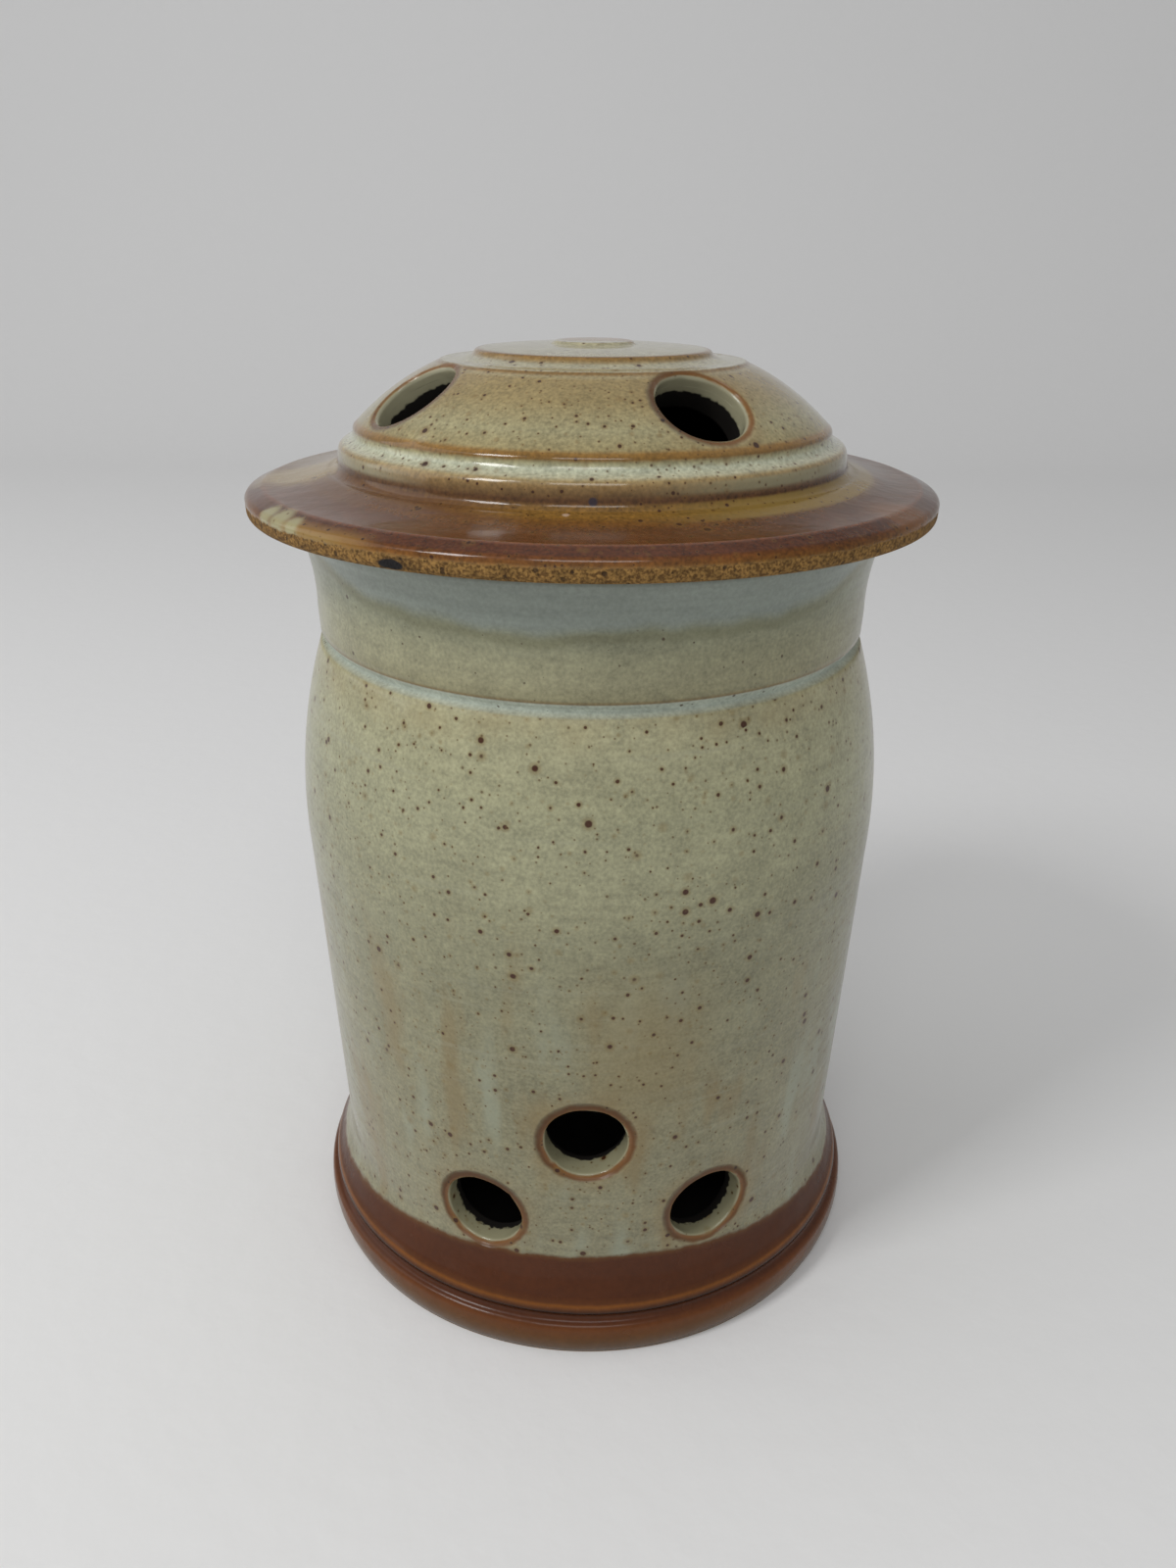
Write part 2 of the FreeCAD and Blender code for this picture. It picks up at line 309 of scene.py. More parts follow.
class Hole:
    """One end of a vent: a square of faces in the flat sheet that becomes a circle."""

    def __init__(self, section, vent, side, mouth, run, half, columns):
        self.vent = vent
        self.side = side
        self.mouth = mouth
        self.half = half
        rows = section.along
        self.row = min(range(len(rows)), key=lambda number: abs(rows[number] - run))
        self.column = round(vent.azimuth / math.tau * columns) % columns
        self.columns = columns

    def offset(self, column, row):
        """How many cells a grid point is from the middle of the hole."""
        aside = (column - self.column + self.columns / 2) % self.columns - self.columns / 2
        return aside, row - self.row

    def pushed(self, section, place, column, row, spread):
        """The place of a grid point once the square is pushed out to a circle."""
        aside, above = self.offset(column, row)
        steps = max(abs(aside), abs(above)) / self.half
        if steps < 1 or steps > spread:
            return None
        seen = self.vent.seen(wall_point(section, *place))
        wanted = self.mouth * steps
        size = wanted + (seen.length - wanted) * ease((steps - 1) / (spread - 1))
        return slide_to(section, self.vent, place, seen.normalized() * size)


# %% Make the wall from a flat grid
SAME_PLACE = 0.01


def in_cells(point, columns, rows):
    """The column and the row of a point of the flat grid, which runs from -1 to 1."""
    return (point.x + 1) / 2 * columns, (point.y + 1) / 2 * (rows - 1)


def flat_wall(section, holes, columns, spread):
    """Return a bmesh of the whole wall, open at its holes."""
    rows = len(section.points)
    sheet = bmesh.new()
    bmesh.ops.create_grid(sheet, x_segments=columns, y_segments=rows - 1, size=1.0)
    run_layer = sheet.verts.layers.float.new("along")
    taken = []
    for face in sheet.faces:
        column, row = in_cells(face.calc_center_median(), columns, rows)
        for hole in holes:
            aside, above = hole.offset(column, row)
            if abs(aside) < hole.half and abs(above) < hole.half:
                taken.append(face)
                break
    bmesh.ops.delete(sheet, geom=taken, context="FACES")
    for vertex in sheet.verts:
        column, row = (round(place) for place in in_cells(vertex.co, columns, rows))
        start = (column / columns * math.tau, section.along[row])
        place = start
        for hole in holes:
            moved = hole.pushed(section, start, column, row, spread)
            if moved:
                place = (place[0] + moved[0] - start[0], place[1] + moved[1] - start[1])
        vertex[run_layer] = place[1]
        vertex.co = wall_point(section, *place)
    bmesh.ops.remove_doubles(sheet, verts=sheet.verts, dist=SAME_PLACE)
    print("wall", columns, "by", rows, "cells,", len(taken), "taken for vents")
    return sheet


# %% [markdown]
# ## Rolled edges
#
# Each vent was bored through soft clay, and its sharp edge was sponged round. The open
# loop of the hole is extruded in a few short steps that follow a quarter circle, and
# then the outside loop and the inside loop are bridged, which makes the bore. A bevel
# could round the edge too, but here the loop starts as a true circle, and a little noise
# in its radius makes it look cut by hand.


# %% Roll the edges of a vent and bridge its bore
HAND_CUT = 0.28
CUT_WAVE = 5.0
EDGE_STEPS = 5


def open_loop(sheet, hole):
    """The open edges at one end of a vent."""
    loop = []
    for edge in sheet.edges:
        if not edge.is_boundary:
            continue
        middle = (edge.verts[0].co + edge.verts[1].co) / 2
        offset = middle - hole.vent.centre
        on_side = offset.dot(hole.vent.axis) * hole.side > 0
        if on_side and offset.length < hole.vent.reach:
            loop.append(edge)
    return loop


def roll_edge(sheet, hole):
    """Extrude an open loop round a quarter circle into the bore."""
    loop = open_loop(sheet, hole)
    vent = hole.vent
    roll = hole.mouth - vent.bore
    starts = {}
    for vertex in {corner for edge in loop for corner in edge.verts}:
        seen = vent.seen(vertex.co)
        vertex.co += (vent.across * seen.x + vent.climb * seen.y) * (hole.mouth / seen.length - 1)
        starts[vertex] = vertex.co.copy()
    for number in range(1, EDGE_STEPS + 1):
        angle = math.pi / 2 * number / EDGE_STEPS
        made = bmesh.ops.extrude_edge_only(sheet, edges=loop)["geom"]
        loop = [item for item in made if isinstance(item, bmesh.types.BMEdge) and item.is_boundary]
        fresh = [item for item in made if isinstance(item, bmesh.types.BMVert)]
        following = {}
        for vertex in fresh:
            below = min(starts, key=lambda other: (other.co - vertex.co).length_squared)
            start = starts[below]
            seen = vent.seen(start)
            shrink = roll * math.sin(angle)
            wobble = HAND_CUT * noise.noise(start / CUT_WAVE) * math.sin(angle)
            size = (hole.mouth - shrink + wobble) / seen.length
            outline = (vent.across * seen.x + vent.climb * seen.y) * (size - 1)
            vertex.co = start + outline + vent.axis * (-hole.side * roll * (1 - math.cos(angle)))
            following[vertex] = start
        starts = following
    return loop


def bore_vents(sheet, pairs):
    """Roll both ends of every vent and bridge them."""
    for outer, inner in pairs:
        ends = roll_edge(sheet, outer) + roll_edge(sheet, inner)
        bmesh.ops.bridge_loops(sheet, edges=ends)


# %% [markdown]
# The rim was lifted a little more on one side than on the other, so the lid sits about
# one degree out of level, higher at the front. Below the neck the pot is true.

# %% Lift the front of the rim and of the lid
RIM_RISE = 0.021
RISE_FROM = 158.0
RISE_OVER = 16.0


def lift_front(sheet):
    """Shear the top of a wall upwards towards the front."""
    for vertex in sheet.verts:
        share = ease((vertex.co.z - RISE_FROM) / RISE_OVER)
        vertex.co.z -= vertex.co.y * RIM_RISE * share


# %% [markdown]
# A finished wall keeps its place in its mesh, with the object itself at the origin, so
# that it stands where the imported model's piece stands and moves with the same body.

# %% Finish a wall as an object
def as_piece(sheet, name, body):
    """Turn a bmesh in millimetres into a smooth object in metres that rides a body."""
    bmesh.ops.recalc_face_normals(sheet, faces=sheet.faces)
    bmesh.ops.scale(sheet, vec=(MM, MM, MM), verts=sheet.verts)
    for face in sheet.faces:
        face.smooth = True
    open_edges = sum(not edge.is_manifold for edge in sheet.edges)
    mesh = bpy.data.meshes.new(name)
    sheet.to_mesh(mesh)
    sheet.free()
    piece = bpy.data.objects.new(name, mesh)
    bpy.context.scene.collection.objects.link(piece)
    triangles = sum(len(face.vertices) - 2 for face in mesh.polygons)
    print(name, triangles, "triangles,", open_edges, "open edges")
    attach(piece, body)
    return piece


# %% [markdown]
# ## The pot
#
# Three vents near the foot let air in, the middle one higher than the two beside it,
# and three more face them at the back. A vent's place in the section is looked up by
# its height, once on the outside and once on the inside of the wall. HALF is half the
# width of its square, in cells, and SPREAD is how many halves out the grid is moved.

# %% The pot's vents
BORE = 8.8
POT_COLUMNS = 260
POT_HALF = 7
POT_MOUTH = BORE + 0.85
POT_INNER_MOUTH = BORE + 0.7
POT_OUTSIDE = 63.5
POT_MID_WALL = 60.0
POT_INSIDE = 56.5
POT_SPREAD = 1.55
VENT_REACH = 16.0
FRONT_VENTS = {"upper": (0.0, 56.8), "left": (-21.5, 33.2), "right": (26.0, 33.6)}

pot_pairs = []
for half_turn in (0.0, 180.0):
    for degrees, height in FRONT_VENTS.values():
        azimuth = math.radians(degrees + half_turn) % math.tau
        vent = Vent(azimuth, POT_MID_WALL, height, 0.0, BORE, VENT_REACH)
        out_run = pot_section.nearest(POT_OUTSIDE, height, "crease_high", "belly_start")
        in_run = pot_section.nearest(POT_INSIDE, height, "belly_inner", "corner_high")
        pot_pairs.append((
            Hole(pot_section, vent, 1, POT_MOUTH, out_run, POT_HALF, POT_COLUMNS),
            Hole(pot_section, vent, -1, POT_INNER_MOUTH, in_run, POT_HALF, POT_COLUMNS),
        ))
print(len(pot_pairs), "vents in the pot,", 2 * BORE, "mm wide")

# %% Make the pot
pot_holes = [hole for pair in pot_pairs for hole in pair]
pot_wall = flat_wall(pot_section, pot_holes, POT_COLUMNS, POT_SPREAD)
bore_vents(pot_wall, pot_pairs)
lift_front(pot_wall)
pot = as_piece(pot_wall, "pot_body", "pot")
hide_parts("pot")

# %% [markdown]
# ## The lid
#
# The lid is made the same way. Its four vents are bored square to the dome, so they
# lean outwards, and they are so large that their upper edges cut the fine line where
# the dome meets the step.

# %% The lid's vents
LID_COLUMNS = 300
LID_HALF = 12
LID_MOUTH = BORE + 0.95
LID_INNER_MOUTH = BORE + 0.6
LID_VENT_COUNT = 4
FIRST_LID_VENT = 30.0
LID_VENT_RADIUS = 40.2
LID_VENT_HEIGHT = 24.6
LID_VENT_LEAN = 34.0
LID_VENT_TILT = math.radians(90 - LID_VENT_LEAN)
LID_SPREAD = 1.5
WALL_THROUGH = 7.0

deep_radius = LID_VENT_RADIUS - WALL_THROUGH * math.cos(LID_VENT_TILT)
deep_height = LID_VENT_HEIGHT - WALL_THROUGH * math.sin(LID_VENT_TILT)
mid_radius = (LID_VENT_RADIUS + deep_radius) / 2
mid_height = (LID_VENT_HEIGHT + deep_height) / 2

lid_pairs = []
for number in range(LID_VENT_COUNT):
    azimuth = math.radians(FIRST_LID_VENT) + number * math.tau / LID_VENT_COUNT
    vent = Vent(azimuth, mid_radius, mid_height, LID_VENT_TILT, BORE, VENT_REACH)
    out_run = lid_section.nearest(LID_VENT_RADIUS, LID_VENT_HEIGHT, "dome_foot", "step_in")
    in_run = lid_section.nearest(deep_radius, deep_height, "vault_centre", "vault_spring")
    lid_pairs.append((
        Hole(lid_section, vent, 1, LID_MOUTH, out_run, LID_HALF, LID_COLUMNS),
        Hole(lid_section, vent, -1, LID_INNER_MOUTH, in_run, LID_HALF, LID_COLUMNS),
    ))
print(len(lid_pairs), "vents in the lid,", LID_VENT_LEAN, "degrees from upright")

# %% Make the lid
lid_holes = [hole for pair in lid_pairs for hole in pair]
lid_wall = flat_wall(lid_section, lid_holes, LID_COLUMNS, LID_SPREAD)
bore_vents(lid_wall, lid_pairs)
bmesh.ops.translate(lid_wall, vec=(0, 0, SEAT_HEIGHT), verts=lid_wall.verts)
lift_front(lid_wall)
lid = as_piece(lid_wall, "lid_dome", "lid")
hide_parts("lid")

# %% [markdown]
# ## Glazes
#
# Each piece has one material. Its colour is decided by where a point is: how far along
# the section it lies, how high it is, how near a vent, and then by a few noises for
# what the kiln does. All the sums run in millimetres. A painted texture wrapped round
# the pot would blur close up and meet itself in a seam, and these sums do neither.
#
# Three small classes keep the recipes readable. A Value wraps a socket, so that a sum
# in a shader can be written as a sum. A Recipe adds every node to its material, and a
# TurnedGlaze is the recipe of a piece that was thrown on the wheel.


# %% Values that can be added and multiplied
class Value:
    """Something worked out in a shader: a number, a colour or a place."""

    def __init__(self, recipe, socket):
        self.recipe = recipe
        self.socket = socket

    def math(self, operation, *others):
        """Do one step of arithmetic."""
        numbers = dict(enumerate((self, *others)))
        return self.recipe.value("Math", {"operation": operation}, numbers)

    def __add__(self, other):
        return self.math("ADD", other)

    def __sub__(self, other):
        return self.math("SUBTRACT", other)

    def __mul__(self, other):
        return self.math("MULTIPLY", other)

    def __truediv__(self, other):
        return self.math("DIVIDE", other)

    def __rsub__(self, other):
        return self * -1.0 + other

    __radd__ = __add__
    __rmul__ = __mul__

    def least(self, other):
        """The smaller of two numbers."""
        return self.math("MINIMUM", other)

    def root(self):
        """The square root."""
        return self.math("SQRT")

    def size(self):
        """The number without its sign."""
        return self.math("ABSOLUTE")

    def rise(self, low, high):
        """A smooth step from 0 at low to 1 at high; low may be the larger one."""
        smooth = {"interpolation_type": "SMOOTHSTEP"}
        ends = {"Value": self, "From Min": low, "From Max": high}
        return self.recipe.value("MapRange", smooth, ends)


def glaze(red, green, blue):
    """A colour as a screen shows it, 0 to 255, turned into light by the sRGB curve."""
    light = []
    for part in (red, green, blue):
        part /= 255
        light.append(part / 12.92 if part < 0.04045 else ((part + 0.055) / 1.055) ** 2.4)
    return (*light, 1.0)


# %% Recipes: one method adds every node
class Recipe:
    """One material, and short names for the things that it is mixed from."""

    def __init__(self, name):
        self.material = bpy.data.materials.new(name)
        self.material.use_nodes = True
        self.tree = self.material.node_tree
        self.tree.nodes.clear()
        millimetres = (1 / MM, 1 / MM, 1 / MM)
        place = self.value("TexCoord", {}, {}, "Object")
        self.spot = self.value("Mapping", {}, {"Vector": place, "Scale": millimetres})

    def node(self, kind, settings, inputs):
        """Add a shader node of a kind, change its settings, then fill or link its inputs."""
        node = self.tree.nodes.new("ShaderNode" + kind)
        for key, setting in settings.items():
            setattr(node, key, setting)
        for key, given in inputs.items():
            if isinstance(given, Value):
                self.tree.links.new(given.socket, node.inputs[key])
            else:
                node.inputs[key].default_value = given
        return node

    def value(self, kind, settings, inputs, output=0):
        """Add a node and keep one of its outputs."""
        return Value(self, self.node(kind, settings, inputs).outputs[output])

    def stretched(self, stretch):
        """The place, squeezed along each axis."""
        squeeze = {"operation": "MULTIPLY"}
        return self.value("VectorMath", squeeze, {0: self.spot, 1: stretch})

    def cloud(self, width, detail=2.0, stretch=(1, 1, 1)):
        """A noise about 0, from -0.5 to 0.5, whose blotches are so many mm wide."""
        inputs = {"Vector": self.stretched(stretch), "Scale": 1 / width, "Detail": detail}
        return self.value("TexNoise", {}, inputs) - 0.5

    def blend(self, share, under, over):
        """Mix one colour over another; a Mix node's colours are inputs 6 and 7."""
        inputs = {0: share, 6: under, 7: over}
        return self.value("Mix", {"data_type": "RGBA"}, inputs, 2)

    def shade(self, colour, strength):
        """Make a colour lighter or darker: 1 leaves it alone."""
        scale = {"operation": "SCALE"}
        return self.value("VectorMath", scale, {0: colour, "Scale": strength})

    def bands(self, where, stops):
        """A colour that depends on a length, given as (length, colour) stops."""
        first, last = stops[0][0], stops[-1][0]
        spread = {"Value": where, "From Min": first, "From Max": last}
        share = self.value("MapRange", {}, spread)
        ramp = self.node("ValToRGB", {}, {"Fac": share})
        elements = ramp.color_ramp.elements
        while len(elements) < len(stops):
            elements.new(0.5)
        for element, (length, colour) in zip(elements, stops):
            element.position = (length - first) / (last - first)
            element.color = colour
        return Value(self, ramp.outputs["Color"])

    def surface(self, inputs):
        """End the recipe with a surface that has the given inputs."""
        surface = self.value("BsdfPrincipled", {}, inputs)
        self.node("OutputMaterial", {}, {"Surface": surface})
        self.tell("finished")
        return self.material

    def tell(self, what):
        """Print how long the recipe has become."""
        print(self.material.name, what, "after", len(self.tree.nodes), "nodes")


# %% [markdown]
# A turned piece is glazed by a few measures: the distance from the wheel's axis, the
# height, how far round a point is from the front, and the distance along the section,
# which the mesh brought with it. Specks, patches and vents are worked out from those.
# Every glaze has a satin body under a glassy coat.

# %% The glaze of a turned piece
SATIN = 0.2
GLASSY = 0.06
STAIN_STRENGTH = 0.40


class TurnedGlaze(Recipe):
    """The recipe of a piece that was thrown on the wheel."""

    def __init__(self, name):
        super().__init__(name)
        axes = self.node("SeparateXYZ", {}, {"Vector": self.spot})
        self.x, self.y, self.z = (Value(self, output) for output in axes.outputs)
        self.radius = (self.x * self.x + self.y * self.y).root()
        self.front = self.y / self.radius * -1.0
        named = {"attribute_name": "along"}
        self.along = self.value("Attribute", named, {}, "Fac")

    def specks(self, apart, small, large):
        """Iron specks: how much of a core and how much of a stain is here."""
        cells = self.node("TexVoronoi", {}, {"Vector": self.spot, "Scale": 1 / apart})
        distance = Value(self, cells.outputs["Distance"]) * apart
        colour = Value(self, cells.outputs["Color"])
        chance = self.value("SeparateColor", {}, {"Color": colour})
        size = chance * chance * (large - small) + small
        ragged = (distance + self.cloud(0.6) * 0.18) / size
        return ragged.rise(1.0, 0.6), ragged.rise(2.0, 0.9)

    def speckled(self, under, kinds, where, iron, stain=None):
        """Scatter kinds of specks over a colour, with a stain round each."""
        for apart, small, large, strength in kinds:
            core, halo = self.specks(apart, small, large)
            if stain:
                under = self.blend(halo * where * (strength * STAIN_STRENGTH), under, stain)
            under = self.blend(core * where * strength, under, iron)
        return under

    def patch(self, azimuth, radius, size, soft=0.5, height=None, flat=1.0):
        """1 near a place in plan, or near a height there, and 0 away from it.

        soft is the share of the size, each way, over which it fades. A flat above 1 makes
        the patch lower than it is wide.
        """
        turn = math.radians(azimuth)
        aside = self.x - radius * math.sin(turn)
        ahead = self.y + radius * math.cos(turn)
        square = aside * aside + ahead * ahead
        if height is not None:
            over = (self.z - height) * flat
            square = square + over * over
        gap = square.root() + self.cloud(3.0) * size * 0.5
        return gap.rise(size * (1 + soft), size * (1 - soft))

    def bore_gap(self, vents, height):
        """How far the nearest bore's side is. height is in the vents' own measure."""
        nearest = None
        for vent in vents:
            out = self.x * math.sin(vent.azimuth) - self.y * math.cos(vent.azimuth)
            side = self.x * math.cos(vent.azimuth) + self.y * math.sin(vent.azimuth)
            base = math.hypot(vent.centre.x, vent.centre.y)
            rest = (out - base) * vent.axis.z - (height - vent.centre.z) * vent.level
            gap = (side * side + rest * rest).root()
            nearest = gap if nearest is None else nearest.least(gap)
        return nearest - BORE

    def fired(self, colour, rough, coat, height):
        """End the recipe with a glazed surface."""
        bump = {"Height": height, "Distance": MM, "Strength": 1.0}
        return self.surface({
            "Base Color": colour,
            "Roughness": rough,
            "Specular IOR Level": SATIN,
            "Coat Weight": coat,
            "Coat Roughness": GLASSY,
            "Normal": self.value("Bump", {}, bump),
        })


# %% [markdown]
# Iron specks come in a few sizes. Each row says how far apart their seeds are, the
# smallest and the largest radius, and how dark they are. They could be scattered as
# tiny meshes, but the cells of a Voronoi texture give thousands and add no faces.

# %% Sizes of specks, and the glazes that both pieces share
POT_SPECKS = [(4.8, 0.35, 0.92, 0.97), (2.7, 0.22, 0.54, 0.92), (1.8, 0.14, 0.34, 0.60)]
NECK_SPECKS = [(4.6, 0.30, 0.65, 0.85), (2.8, 0.15, 0.35, 0.60)]
LID_SPECKS = [(5.0, 0.35, 0.90, 0.97), (2.4, 0.22, 0.50, 0.92), (1.5, 0.14, 0.32, 0.70)]
# The insides of both pieces: a dark brown slip, painted nearly black as painted shade.
DARK_SLIP_AND_SHADE = glaze(20, 17, 14)
PALE_RING = glaze(156, 156, 134)
print(len(POT_SPECKS + NECK_SPECKS + LID_SPECKS), "kinds of specks")

# %% [markdown]
# ### The pot's glaze
#
# From the table up: bare clay under the foot, an iron-brown foot, then a celadon that
# stops in a wavy line where the pot was held for dipping. It runs pale in long streaks
# and breaks to tan between them, and iron in the clay comes through it as specks.

# %% Celadon on the pot's wall
height_of = {station: up for station, out, up, bend in POT_SECTION}
SHOULDER = height_of["shoulder"]
GROOVE = height_of["groove"]
NECK = height_of["neck_low"]
runs = pot_section.station
mix = TurnedGlaze("pot_glaze")

belly = mix.bands(mix.z + mix.cloud(18.0) * 6.0, [
    (20.0, glaze(134, 130, 104)), (60.0, glaze(133, 129, 102)), (100.0, glaze(136, 134, 107)),
    (132.0, glaze(153, 152, 122)), (151.0, glaze(161, 158, 127)),
])
grain = mix.cloud(0.7, 3.0) * 0.90 + mix.cloud(2.2, 2.0) * 0.40
turned = mix.cloud(1.4, 2.0, (0.06, 0.06, 1)) * 0.28
mottle = grain + turned + mix.cloud(7.0, 2.0) * 0.30 + mix.cloud(28.0) * 0.30
belly = mix.shade(belly, 1.0 + mottle)
low_down = mix.z.rise(118.0, 78.0)
streak = mix.cloud(9.0, 2.0, (1, 1, 0.24))
belly = mix.blend(streak.rise(0.04, 0.22) * low_down * 0.65, belly, glaze(148, 153, 133))
belly = mix.blend(streak.rise(-0.04, -0.20) * low_down * 0.55, belly, glaze(130, 112, 74))
rings = mix.cloud(2.2, 2.0, (0.04, 0.04, 1))
belly = mix.blend(rings.rise(0.06, 0.30) * 0.30, belly, PALE_RING)
under_groove = (mix.z - (GROOVE - 2.0)).size().rise(7.0, 1.0) * (mix.cloud(9.0) * 2.0 + 0.4)
belly = mix.blend(under_groove * 0.45, belly, glaze(150, 132, 90))
mix.tell("wall")

# %% [markdown]
# Glaze draws back from every cut edge. Round a vent it thins to tan, shows the iron as
# a brown ring on the lip, and is pale again in the bore. Every length here is measured
# from the side of the bore. The front and back vents face each other along the same
# axes, so the front three speak for all six.

# %% Tan and brown round the vents
front_vents = [outer.vent for outer, _ in pot_pairs[:len(FRONT_VENTS)]]
vent_gap = mix.bore_gap(front_vents, mix.z)
blush = vent_gap.rise(7.2, 0.8) * (mix.cloud(7.0) * 1.6 + 0.5)
belly = mix.blend(blush * 0.60, belly, glaze(136, 112, 68))
tan_side = mix.patch(11.0, 64.0, 11.0, 0.8) * mix.z.rise(108.0, 84.0) * mix.z.rise(58.0, 72.0)
belly = mix.blend(tan_side * 0.45, belly, glaze(134, 116, 74))
lip_ring = (vent_gap - 1.0 + mix.cloud(3.0) * 1.4).size()
belly = mix.blend(lip_ring.rise(1.4, 0.3) * 0.90, belly, glaze(112, 66, 14))
belly = mix.blend(vent_gap.rise(0.4, 0.1), belly, glaze(146, 142, 114))
belly = mix.speckled(belly, POT_SPECKS, 1.0, glaze(62, 29, 10), glaze(120, 98, 50))
mix.tell("vents and specks")

# %% [markdown]
# Glaze pools thick and blue-grey under the rim, where the pot hung upside down while it
# dried, and again in the groove. Between the two it is thin and olive.

# %% The neck
neck = mix.bands(mix.z, [
    (SHOULDER, glaze(152, 152, 130)), (GROOVE, glaze(163, 171, 158)),
    (NECK - 0.4, glaze(157, 164, 150)), (NECK, glaze(116, 98, 62)),
    (NECK + 0.6, glaze(132, 128, 98)), (NECK + 3.5, glaze(141, 138, 109)),
    (NECK + 9.0, glaze(138, 137, 110)), (NECK + 14.0, glaze(128, 131, 108)),
])
neck = mix.shade(neck, 1.05 + mottle)
neck = mix.blend(rings.rise(0.06, 0.30) * 0.25, neck, PALE_RING)
neck_line = NECK + 14.2 + mix.cloud(16.0) * 5.0 + (1 - mix.front) * (1 - mix.front) * 24.0
pooled = (mix.z - neck_line).rise(-1.6, 1.6)
blue_grey = mix.shade(glaze(139, 147, 138)[:3], 1.0 + turned + grain * 0.5)
neck = mix.blend(pooled, neck, blue_grey)
under_pool = (mix.z - neck_line + 1.8).size().rise(2.0, 0.2)
neck = mix.blend(under_pool * 0.45, neck, glaze(112, 110, 80))
neck = mix.speckled(neck, NECK_SPECKS, 1 - pooled, glaze(64, 42, 26))
outside = mix.blend(mix.z.rise(SHOULDER - 0.3, SHOULDER + 0.2), belly, neck)
mix.tell("neck")

# %% [markdown]
# The foot was dipped in an iron glaze that fires to a warm brown. It is amber where it
# is thin, on the bead. Just under the bead it is painted nearly black, a painted shadow
# in the undercut, and along the bottom edge it darkens as a painted contact shadow. The
# line where the celadon ends rises and falls round the pot, with small waves of its own.

# %% The iron-brown foot
LINE_HEIGHT = 18.6
LINE_TILT = 2.35
LINE_SWELL = 2.755

# Two stops are painted shadow: the dark one at the sole is a contact shadow, and the nearly black
# one just above bead_low is the shadow under the bead.
foot = mix.bands(mix.along + mix.cloud(4.0) * 0.3, [
    (runs["sole_outer"], glaze(56, 42, 30)), (runs["sole_outer"] + 1.4, glaze(90, 66, 42)),
    (runs["foot_crown"] - 2.6, glaze(94, 60, 24)), (runs["foot_crown"] + 0.4, glaze(100, 56, 22)),
    (runs["crown_top"] + 0.4, glaze(80, 41, 18)), (runs["bead_low"] - 0.6, glaze(66, 34, 16)),
    (runs["bead_low"] + 0.1, glaze(36, 20, 12)), (runs["bead_low"] + 1.0, glaze(84, 46, 18)),
    (runs["bead_low"] + 1.8, glaze(118, 70, 26)), (runs["bead_top"] - 0.5, glaze(84, 46, 19)),
    (runs["bead_top"] + 0.8, glaze(76, 39, 17)), (runs["crease_high"] + 12.0, glaze(78, 39, 17)),
])
foot = mix.shade(foot, 1.0 + mix.cloud(1.4, 4.0) * 0.40 + mix.cloud(14.0) * 0.35)
swell = 2 * mix.front * mix.front - 1
wave = mix.cloud(4.0) * 1.5 + mix.cloud(22.0) * 2.0
above_line = mix.z - (LINE_HEIGHT + LINE_TILT * mix.front + LINE_SWELL * swell + wave)
foot = mix.blend(above_line.rise(-1.8, 0.0) * 0.70, foot, glaze(98, 64, 28))
outside = mix.blend(above_line.rise(-0.6, 0.6), foot, outside)
mix.tell("foot")

# %% [markdown]
# Inside, the pot is lined with a dark brown slip, painted nearly black as painted shade.
# At the inner end of every vent the cut left crumbs, so the pale glaze of the bore ends
# there in a ragged line, and the painted shade of the inside begins. The sole is wiped
# bare, because glaze would stick to the shelf of the kiln.

# %% The inside, the bare sole and the surface of the pot
BORE_END = 58.4
POT_COAT = 0.40

in_wall = mix.along.rise(runs["seat_inner"] - 1.0, runs["mouth"] + 2.0)
past_bore = (mix.radius + mix.cloud(1.5, 2.0) * 2.2).rise(BORE_END, BORE_END - 0.6)
in_bore = vent_gap.rise(1.4, 0.8)
inside = in_wall + (past_bore - in_wall) * in_bore
outside = mix.blend(inside, outside, DARK_SLIP_AND_SHADE)
bare = mix.along.rise(runs["sole_outer"] + 0.8, runs["sole_outer"] + 0.2)
colour = mix.blend(bare, outside, glaze(132, 104, 72))

# The relief: throwing rings, the edge of the celadon, orange peel, grit on the sole, and
# a dip towards each vent where it was sponged.
wheel = mix.cloud(2.2, 1.0, (0.02, 0.02, 1)) * 0.16 + mix.cloud(9.0, 1.0, (0.05, 0.05, 1)) * 0.5
glaze_step = above_line.rise(-0.6, 0.8) * 0.18
skin = mix.cloud(2.2, 2.0) * 0.05 + mix.cloud(11.0) * 0.35
sand = mix.cloud(0.5, 3.0) * 0.22 * bare
lip = vent_gap.rise(2.5, 0.5) * -1.8
height = wheel * above_line.rise(-1.0, 3.0) + glaze_step + skin + sand + lip
in_foot = above_line.rise(0.5, -0.5)
in_groove = (mix.z - (GROOVE - 0.2)).size().rise(1.8, 0.8)
rough = mix.cloud(6.0) * 0.10 + 0.30 - in_foot * 0.04 + (bare + inside + in_groove * 0.5) * 0.5
coat = (1 - bare) * (1 - inside) * (1 - in_foot * 0.75) * (1 - in_groove) * POT_COAT
pot.data.materials.append(mix.fired(colour, rough, coat, height))

# %% [markdown]
# ### The lid's glaze
#
# The lid is banded by its turning: glaze runs off every sharp ridge and shows the iron
# under it as a brown line, and pools pale in every cove. The flange is dipped in the
# brown glaze, which stops short of the edge and leaves rough clay.

# %% Bands of the flange and of the dome
runs = lid_section.station
mix = TurnedGlaze("lid_glaze")
wander = mix.cloud(5.0) * 0.5 + mix.cloud(1.2, 3.0) * 0.4

